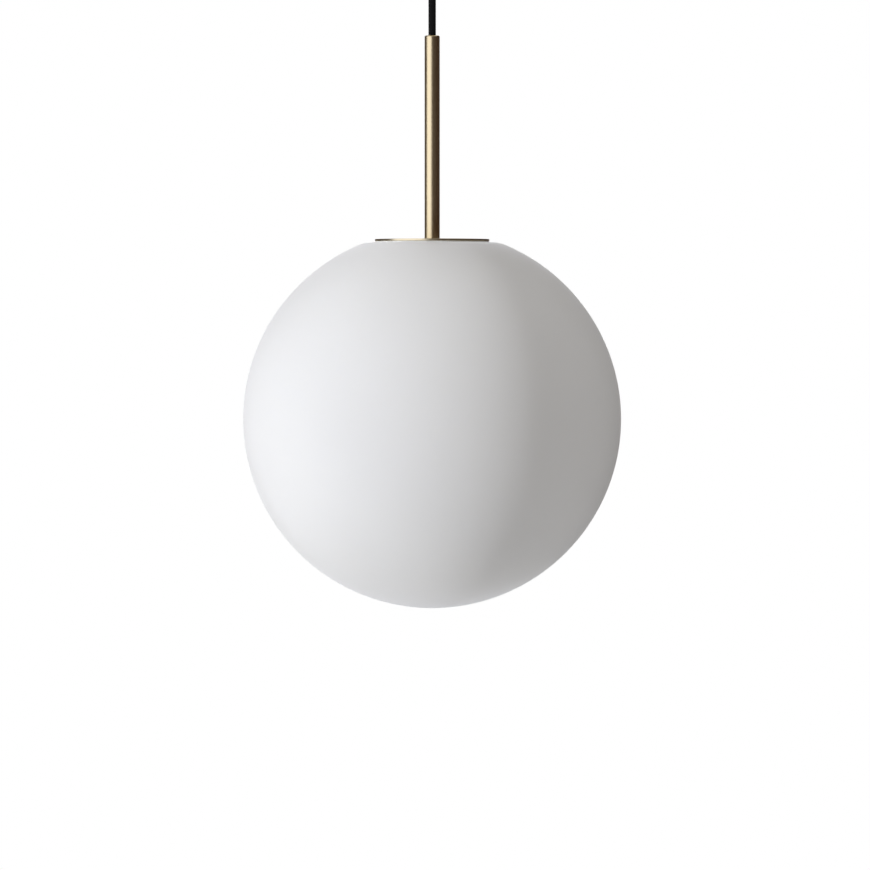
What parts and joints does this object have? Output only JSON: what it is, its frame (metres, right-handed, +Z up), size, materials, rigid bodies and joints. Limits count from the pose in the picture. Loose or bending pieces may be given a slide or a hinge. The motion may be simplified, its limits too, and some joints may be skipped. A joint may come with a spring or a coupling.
{
  "type": "pendant ceiling light",
  "caption": "Opal globe pendant light on a slim brass stem and thin brass cover disc, hung by a textile cord from a round ceiling canopy; the globe unscrews from its holder.",
  "frame": {"origin": "on the ceiling, midway between the two ceiling screws, at the top face of the bracket", "axes": "+Z up into the ceiling, +X along the line of the two ceiling screws; the lamp hangs along -Z"},
  "size_m": [0.2, 0.2, 0.435],
  "materials": {
    "satin_brass": "satin, brushed",
    "steel": "zinc plated, satin",
    "plain_brass": "plain turned brass",
    "tinned_copper": "tinned",
    "black_textile": "braided textile",
    "brown_insulation": "smooth PVC",
    "blue_insulation": "smooth PVC",
    "green_yellow_insulation": "smooth PVC with a second colour stripe",
    "nylon": "moulded nylon",
    "black_plastic": "moulded thermoset, fine satin",
    "white_porcelain": "glazed",
    "nickel_plate": "nickel plated",
    "bronze_spring": "phosphor bronze strip",
    "solder": "tinned, dull",
    "silicone": "translucent white silicone",
    "opal_glass": "opal white, acid-etched matt",
    "white_plastic": "moulded, satin",
    "aluminium": "plain, satin",
    "circuit_board": "solder mask",
    "component_black": "moulded",
    "led_phosphor": "phosphor face",
    "white_insulation": "smooth"
  },
  "bodies": {
    "ceiling_fitting": {"ceiling_bracket": "steel", "canopy_cup": "satin_brass", "canopy_screws": "satin_brass", "cord_grip_body": "satin_brass", "cord_grip_nut": "satin_brass", "cord_grip_washer": "steel", "cord_grip_locknut": "steel", "canopy_cord": "black_textile", "terminal_block": "nylon", "terminal_clamps": "plain_brass", "terminal_block_screws": "steel", "terminal_fixing_screw": "steel", "canopy_live_lead": "brown_insulation", "canopy_neutral_lead": "blue_insulation", "canopy_earth_lead": "green_yellow_insulation", "earth_ring_tag": "tinned_copper", "earth_screw": "steel"},
    "cord_top": {"cord_upper": "black_textile"},
    "cord_drop": {"cord_lower": "black_textile"},
    "pendant_fitting": {"stem_tube": "satin_brass", "stem_top_bush": "nylon", "stem_cord": "black_textile", "stem_nipple": "steel", "top_disc": "satin_brass", "disc_washer": "steel", "disc_locknut": "steel", "lampholder_cap": "black_plastic", "earth_tag": "tinned_copper", "cap_nut": "steel", "cord_clamp": "nylon", "cord_clamp_screws": "steel", "lampholder_insert": "white_porcelain", "terminal_posts": "plain_brass", "terminal_screws": "steel", "live_lead": "brown_insulation", "neutral_lead": "blue_insulation", "earth_lead": "green_yellow_insulation", "socket_shell": "nickel_plate", "centre_contact": "bronze_spring", "lampholder_body": "black_plastic"},
    "seal": {"seal_ring": "silicone"},
    "globe_lamp": {"globe_glass": "opal_glass", "recess_cup": "white_plastic", "glass_bond_ring": "silicone", "lamp_cap_shell": "nickel_plate", "lamp_cap_insulator": "black_plastic", "lamp_cap_contact": "solder", "lamp_leads": "tinned_copper", "heat_sink": "aluminium", "engine_screws": "steel", "driver_sleeve": "nylon", "driver_board": "circuit_board", "driver_components": "component_black", "led_side_boards": "aluminium", "led_side_chips": "led_phosphor", "led_end_board": "aluminium", "led_end_chips": "led_phosphor", "led_leads": "white_insulation"}
  },
  "joints": [
    {"name": "swing_x", "type": "hinge", "parent": "ceiling_fitting", "child": "cord_top", "pos_m": [0, 0, -0.05], "axis": [1, 0, 0], "range_deg": [-30, 30]},
    {"name": "swing_y", "type": "hinge", "parent": "cord_top", "child": "cord_drop", "pos_m": [0, 0, -0.078], "axis": [0, 1, 0], "range_deg": [-30, 30]},
    {"name": "pendant_twist", "type": "hinge", "parent": "cord_drop", "child": "pendant_fitting", "pos_m": [0, 0, -0.132], "axis": [0, 0, 1], "range_deg": [-180, 180]},
    {"name": "globe_drop", "type": "slide", "parent": "pendant_fitting", "child": "seal", "axis": [0, 0, 1], "range_m": [-0.01814, 0]},
    {"name": "globe_turn", "type": "hinge", "parent": "seal", "child": "globe_lamp", "pos_m": [0, 0, -0.2415], "axis": [0, 0, 1], "range_deg": [-1800, 0]}
  ],
  "couplings": [
    {"joint": "globe_turn", "follows": "globe_drop", "rad_per_m": 1731.4}
  ]
}
